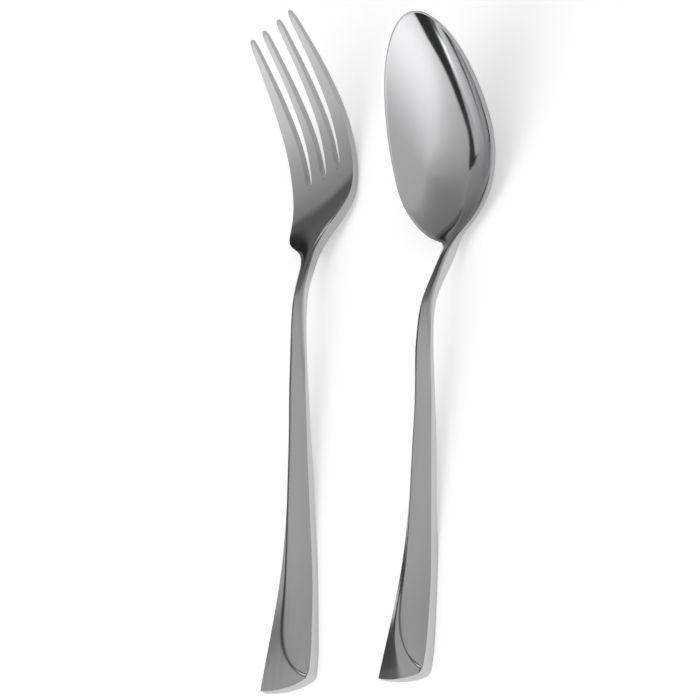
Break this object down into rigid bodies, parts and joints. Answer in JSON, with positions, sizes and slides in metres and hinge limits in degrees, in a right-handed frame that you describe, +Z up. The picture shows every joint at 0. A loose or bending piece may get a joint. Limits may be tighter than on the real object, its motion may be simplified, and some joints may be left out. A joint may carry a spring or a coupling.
{
  "type": "fork and spoon cutlery set",
  "caption": "Table fork and tablespoon of one pattern, lying face up side by side; the flared handles carry a raised panel that sweeps to the right-hand corner.",
  "frame": {"origin": "middle of the set's plan box, on the surface that both pieces lie on", "axes": "+Y along the fork toward its tines and the spoon's bowl, +X to the right when looking from the handle ends, +Z up out of the faces"},
  "size_m": [0.1018, 0.2278, 0.027],
  "materials": {
    "fork_steel": "bright polished steel look, a little satin on the handle",
    "spoon_steel": "bright polished steel look, mirror-like inside the bowl"
  },
  "bodies": {
    "root": {"fork": "fork_steel", "spoon": "spoon_steel"}
  },
  "joints": []
}
